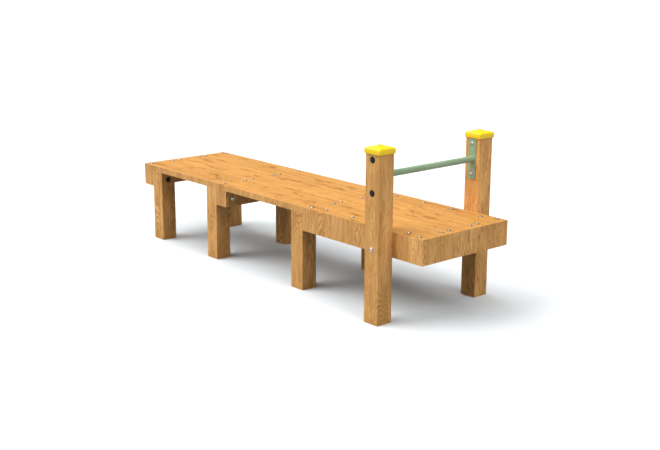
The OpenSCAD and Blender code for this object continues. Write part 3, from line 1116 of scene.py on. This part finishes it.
@dataclass
class FootBar:
    """Green tube between two flange plates, with a fillet weld at each end."""

    finishes: Finishes
    segments: int = 64
    wall: float = 3.2 * MM
    weld_leg: float = 4 * MM
    weld_ripples: int = 30
    ripple_depth: float = 0.012
    ripple_start: float = 0.1
    plate_ease: float = 0.8 * MM
    # Place along the tube and out from it of the bead's rings, in legs of the weld
    bead: tuple[tuple[float, float], ...] = (
        (0.0, 0.0), (0.0, 1.0), (0.22, 0.92), (0.62, 0.58), (0.92, 0.22), (1.0, 0.0),
    )

    def build(self) -> None:
        """Makes the tube, the welds and the plates."""
        box = Box.of("foot_bar")
        length, radius = box.size.y, box.size.x / 2
        bore = radius - self.wall
        rings = [Ring(0.0, radius), Ring(length, radius), Ring(length, bore), Ring(0.0, bore)]
        start = Vector((box.centre.x, box.low.y, box.centre.z))
        tube = copies(loft(rings, self.segments, closed=True), [pointing(start, REARWARD)])
        finished(tube, "foot_bar_tube", self.finishes.green, "foot_bar")
        self._welds(start, length, radius)
        for side in Side:
            node = f"bar_plate_{side.stem}"
            shape = eased_copy(node, self.plate_ease)
            finished(shape, f"{node}_coated", self.finishes.green, node)

    def _welds(self, start: Vector, length: float, radius: float) -> None:
        """Makes the rippled fillet bead at each end of the tube.

        Args:
            start: Middle of the tube's front end.
            length: Length of the tube.
            radius: Radius of the tube.
        """
        leg = self.weld_leg
        rings = [Ring(along * leg, radius + out * leg) for along, out in self.bead]
        bead = loft(rings, self.weld_ripples * 4, closed=True)
        rippled = self.ripple_start * leg
        for vert in bead.verts:
            if math.hypot(vert.co.x, vert.co.y) > radius + rippled and vert.co.z > rippled:
                angle = math.atan2(vert.co.y, vert.co.x)
                ripple = 1.0 - self.ripple_depth * (1.0 + math.cos(self.weld_ripples * angle))
                vert.co.x *= ripple
                vert.co.y *= ripple
        places = [pointing(start, REARWARD), pointing(start + REARWARD * length, -REARWARD)]
        finished(copies(bead, places), "bar_welds_beads", self.finishes.green, "bar_welds")


@dataclass(frozen=True)
class BoltJoint:
    """One bolted joint: its seat on the clamped face, and which way the shank runs from there."""

    seat: Vector
    shank: Vector

    def place(self, along: float = 0.0, outward: bool = False) -> Matrix:
        """Gives the place of a piece on the joint.

        Args:
            along: Distance from the seat along the shank.
            outward: Whether the piece's +Z points against the shank.

        Returns:
            The place.
        """
        return pointing(self.seat + self.shank * along, -self.shank if outward else self.shank)


@dataclass
class Bolts:
    """Domed socket bolts with washers, nuts and the black plugs over the nuts."""

    finishes: Finishes
    head: SocketHead = SocketHead(
        dome=Dome(11 * MM, 7 * MM, 1.2 * MM, 10), edge=0.4 * MM,
        reach=3.9 * MM, depth=3.5 * MM, mouth=(1.1 * MM, 0.7 * MM), point=(0.8 * MM, 0.4),
    )
    segments: int = 48
    shank_radius: float = 6 * MM
    chamfer: float = 1.2 * MM
    washer: float = 2.5 * MM
    washer_ease: float = 0.3 * MM
    nut: float = 10 * MM
    nut_ease: float = 0.7 * MM
    tail: float = 3 * MM
    recess: float = 30 * MM
    plug_body: float = 14.8 * MM
    plug_depth: float = 10 * MM
    plug_dome: Dome = Dome(17.5 * MM, 4 * MM, 1 * MM, 12)
    plug_segments: int = 64
    plate_pitch: float = 170 * MM

    def build(self) -> None:
        """Makes the bolts, washers, nuts and plugs of the legs, posts and plates."""
        side = Box.of("post_front").size.x
        thick = Box.of("bar_plate_front").size.y
        self._set("leg", self._leg_joints(), 2 * side, self.washer)
        self._set("post", self._post_joints(), 2 * side, self.washer)
        self._set("plate", self._plate_joints(), side + thick, 0.0)

    def _leg_joints(self) -> list[BoltJoint]:
        """Joints between each pair of legs and its beam: the head pair's bolts run towards +X.

        Returns:
            The joints.
        """
        joints = []
        for pair, sign in (("head", 1.0), ("mid", -1.0), ("seat", -1.0)):
            beam = Box.of(f"cross_beam_{pair}")
            x = beam.low.x if sign > 0 else beam.high.x
            for side in Side:
                seat = Vector((x, Box.of(f"leg_{pair}_{side.stem}").centre.y, beam.centre.z))
                joints.append(BoltJoint(seat, Vector((sign, 0.0, 0.0))))
        return joints

    def _post_joints(self) -> list[BoltJoint]:
        """Joints between the tall posts and the side beams.

        Returns:
            The joints.
        """
        joints = []
        for side in Side:
            post, beam = Box.of(f"post_{side.stem}"), Box.of(f"side_beam_{side.stem}")
            y = post.low.y if side is Side.FRONT else post.high.y
            joints.append(BoltJoint(Vector((post.centre.x, y, beam.centre.z)), REARWARD * -side.value))
        return joints

    def _plate_joints(self) -> list[BoltJoint]:
        """Joints that hold the foot bar's plates to the posts.

        Returns:
            The joints.
        """
        joints = []
        for side in Side:
            plate = Box.of(f"bar_plate_{side.stem}")
            y = plate.high.y if side is Side.FRONT else plate.low.y
            for lift in (-self.plate_pitch / 2, self.plate_pitch / 2):
                seat = Vector((plate.centre.x, y, plate.centre.z + lift))
                joints.append(BoltJoint(seat, REARWARD * side.value))
        return joints

    def _set(self, stem: str, joints: Sequence[BoltJoint], stack: float, lift: float) -> None:
        """Makes everything on one kind of joint.

        Args:
            stem: Start of the names of the kind's nodes.
            joints: The joints.
            stack: Thickness of what the joint holds, with the nut's recess.
            lift: Height of the head off its seat.
        """
        zinc = self.finishes.zinc
        length = lift + stack - self.recess + self.washer + self.nut + self.tail
        bolts = copies(self._bolt(length), [joint.place(-lift, outward=True) for joint in joints])
        finished(bolts, f"{stem}_bolts_domed", zinc, f"{stem}_bolts")
        for kind, ease in (("washers", self.washer_ease), ("nuts", self.nut_ease)):
            node = f"{stem}_bolt_{kind}"
            finished(eased_copy(node, ease), f"{node}_eased", zinc, node)
        plugs = copies(self._plug(), [joint.place(stack) for joint in joints])
        node = f"{stem}_bolt_plugs"
        finished(plugs, f"{node}_moulded", self.finishes.black, node)

    def _bolt(self, length: float) -> Shape:
        """Shapes a bolt whose head stands on z = 0 with its dome upwards.

        Args:
            length: Length of the shank.

        Returns:
            The shape.
        """
        radius, chamfer = self.shank_radius, self.chamfer
        shank = [Ring(-length, radius - chamfer), Ring(chamfer - length, radius), Ring(0.0, radius)]
        return loft([*shank, *self.head.rings()], self.segments)

    def _plug(self) -> Shape:
        """Shapes a plug whose flange lies on z = 0 with its dome upwards.

        Returns:
            The shape.
        """
        body, flange = self.plug_body, self.plug_dome.radius
        rings = [
            Ring(-self.plug_depth, body - self.chamfer), Ring(self.chamfer - self.plug_depth, body),
            Ring(0.0, body), Ring(0.0, flange - 0.3 * MM), Ring(0.4 * MM, flange),
            *self.plug_dome.rings(self.chamfer),
        ]
        return loft(rings, self.plug_segments)


@dataclass
class Screws:
    """Domed socket screws of the deck and of the angle brackets, and the brackets themselves."""

    finishes: Finishes
    head: SocketHead = SocketHead(
        dome=Dome(10 * MM, 5 * MM, 0.8 * MM, 8), edge=0.3 * MM,
        reach=2.8 * MM, depth=2.5 * MM, mouth=(0.9 * MM, 0.5 * MM), point=(0.5 * MM, 0.4),
    )
    segments: int = 36
    shank_radius: float = 4 * MM
    length: float = 100 * MM
    tip_radius: float = 0.6 * MM
    tip_length: float = 12 * MM
    board_inset: float = 27 * MM
    side_inset: float = 45 * MM
    side_count: int = 4
    bracket_ease: float = 0.5 * MM

    def seats(self) -> list[Vector]:
        """Returns where the heads of the deck's screws sit."""
        return [*self._cross_seats(), *self._side_seats()]

    def build(self) -> None:
        """Makes the deck screws, and dresses the brackets and the screws in them."""
        sets = (("cross_beam_screws", self._cross_seats()), ("side_beam_screws", self._side_seats()))
        for node, seats in sets:
            screws = copies(self._screw(), [Matrix.Translation(seat) for seat in seats])
            finished(screws, f"{node}_domed", self.finishes.deck_zinc, node)
        for node in ("corner_brackets", "bracket_screws", "cap_screws"):
            shape = eased_copy(node, self.bracket_ease, 1)
            finished(shape, f"{node}_eased", self.finishes.zinc, node)

    def _cross_seats(self) -> list[Vector]:
        """Finds the seats of two screws through each board into each cross beam.

        Returns:
            The seats.
        """
        seats = []
        for beam in ("head", "mid", "seat", "foot"):
            x = Box.of(f"cross_beam_{beam}").centre.x
            for board in ("front", "middle", "rear"):
                box = Box.of(f"deck_board_{board}")
                for y in (box.low.y + self.board_inset, box.high.y - self.board_inset):
                    seats.append(Vector((x, y, box.high.z)))
        return seats

    def _side_seats(self) -> list[Vector]:
        """Finds the seats of a row of screws through the outer boards into each side beam.

        Returns:
            The seats.
        """
        seats = []
        top = Box.of("deck_board_front").high.z
        for side in Side:
            beam = Box.of(f"side_beam_{side.stem}")
            pitch = (beam.size.x - 2 * self.side_inset) / (self.side_count - 1)
            for step in range(self.side_count):
                seats.append(Vector((beam.low.x + self.side_inset + step * pitch, beam.centre.y, top)))
        return seats

    def _screw(self) -> Shape:
        """Shapes a screw whose head stands on z = 0 with its dome upwards.

        Returns:
            The shape.
        """
        shank = [
            Ring(-self.length, self.tip_radius), Ring(self.tip_length - self.length, self.shank_radius),
            Ring(0.0, self.shank_radius),
        ]
        return loft([*shank, *self.head.rings()], self.segments)


@dataclass(frozen=True)
class SoftLamp:
    """A wide, distant lamp.

    Attributes:
        name: Name of the lamp.
        energy: Strength of its light.
        height: Height above the horizon, in degrees.
        heading: Direction that its rays run in, in degrees from +X.
        angle: Width of the lamp in the sky, in degrees.
        level: Level that it hangs at.
    """

    name: str
    energy: float
    height: float
    heading: float
    angle: float = 40.0
    level: float = 6.0

    def build(self) -> None:
        """Makes the lamp."""
        light = bpy.data.lights.new(self.name, "SUN")
        light.energy = self.energy
        light.angle = math.radians(self.angle)
        heading, height = math.radians(self.heading), math.radians(self.height)
        run = math.cos(height)
        rays = Vector((run * math.cos(heading), run * math.sin(heading), -math.sin(height)))
        added(self.name, light).matrix_world = pointing(UPRIGHT * self.level, -rays)


@dataclass
class StudioStage:
    """Pale floor, a dim sky that is bright overhead and at the horizon, wide lamps, and the camera."""

    floor_size: float = 160.0
    floor_colour: Colour = (0.765, 0.80, 0.82)
    bounce_near: Colour = (0.07, 0.08, 0.10)
    bounce_far: Colour = (0.20, 0.24, 0.30)
    bounce_drop: float = 2 * MM
    bounce_stretch: Triple = (0.5, 1.0, 0.0)
    bounce_reach: Step = (0.45, 1.90)
    sky_low: float = 0.17
    sky_high: float = 1.85
    sky_edge: Step = (0.80, 0.92)
    horizon: float = 1.0
    horizon_edge: Step = (0.06, 0.20)
    lamps: tuple[SoftLamp, ...] = (
        SoftLamp("key", 2.00, 45.0, 53.0),
        SoftLamp("front", 0.55, 40.0, 90.0),
        SoftLamp("right", 1.24, 43.0, 180.0),
        SoftLamp("left", 0.90, 45.0, 0.0),
    )
    camera_place: Triple = (4.9416, -4.1265, 1.8989)
    camera_heading: float = 48.84
    camera_dip: float = 14.29
    camera_roll: float = 0.29
    lens: float = 60.40

    def build(self) -> None:
        """Makes the floor, the light and the camera."""
        self._floors()
        self._sky()
        for lamp in self.lamps:
            lamp.build()
        self._camera()
        bpy.context.scene.view_settings.view_transform = "Standard"
        log.info("stage: floor, sky, %d lamps and camera", len(self.lamps))

    def _floors(self) -> None:
        """Makes the pale floor that is seen, and a greyer one under it that throws the light back up."""
        matt = Finish("matt_floor")
        matt.set(Base_Color=self.floor_colour, Roughness=1.0, Specular_IOR_Level=0.0)
        seen = self._plane("floor", matt, 0.0)
        seen.visible_diffuse = False
        seen.visible_shadow = False
        grey = Finish("matt_bounce_floor")
        sheet = grey.sheet
        out = sheet.distance(sheet.vector("MULTIPLY", grey.place, self.bounce_stretch), (0.0, 0.0, 0.0))
        colour = sheet.mix(sheet.span(out, *self.bounce_reach), self.bounce_near, self.bounce_far)
        grey.set(Base_Color=colour, Roughness=1.0, Specular_IOR_Level=0.0)
        bounce = self._plane("bounce_floor", grey, -self.bounce_drop)
        bounce.visible_camera = False
        bounce.visible_glossy = False

    def _plane(self, name: str, finish: Finish, level: float) -> bpy.types.Object:
        """Makes one plane.

        Args:
            name: Name of the plane.
            finish: Its finish.
            level: Its height.

        Returns:
            The plane.
        """
        shape = bmesh.new()
        place = Matrix.Translation((0.0, 0.0, level))
        bmesh.ops.create_grid(shape, x_segments=1, y_segments=1, size=self.floor_size / 2, matrix=place)
        mesh = bpy.data.meshes.new(name)
        shape.to_mesh(mesh)
        shape.free()
        mesh.materials.append(finish.material)
        plane = added(name, mesh)
        return plane

    def _sky(self) -> None:
        """Lights the scene from all round, most from overhead."""
        world = bpy.data.worlds.new("studio")
        bpy.context.scene.world = world
        world.use_nodes = True
        sheet = NodeSheet(world.node_tree)
        height = sheet.split(sheet.node("ShaderNodeTexCoord").outputs["Generated"])[2]
        background = world.node_tree.nodes["Background"]
        background.inputs["Color"].default_value = (1.0, 1.0, 1.0, 1.0)
        overhead = sheet.span(height, *self.sky_edge, self.sky_low, self.sky_high)
        level = sheet.span(height, *self.horizon_edge, self.horizon, self.sky_low)
        sheet.feed(background.inputs["Strength"], sheet.math("MAXIMUM", overhead, level))

    def _camera(self) -> None:
        """Makes the camera."""
        data = bpy.data.cameras.new("camera")
        data.lens = self.lens
        data.clip_end = self.floor_size * 2
        camera = added("camera", data)
        turn = Matrix.Rotation(math.radians(self.camera_heading), 4, "Z")
        tilt = Matrix.Rotation(math.radians(90.0 - self.camera_dip), 4, "X")
        roll = Matrix.Rotation(math.radians(self.camera_roll), 4, "Z")
        camera.matrix_world = Matrix.Translation(self.camera_place) @ turn @ tilt @ roll
        bpy.context.scene.camera = camera


def main() -> None:
    """Builds the stage and every sub-assembly in order."""
    logging.basicConfig(level=logging.INFO, format="%(name)s: %(message)s")
    StudioStage().build()
    finishes = Finishes.make()
    screws = Screws(finishes)
    TimberWork(screws.seats()).build()
    for assembly in (PostCaps(finishes), FootBar(finishes), Bolts(finishes), screws):
        assembly.build()


if __name__ == "__main__":
    main()
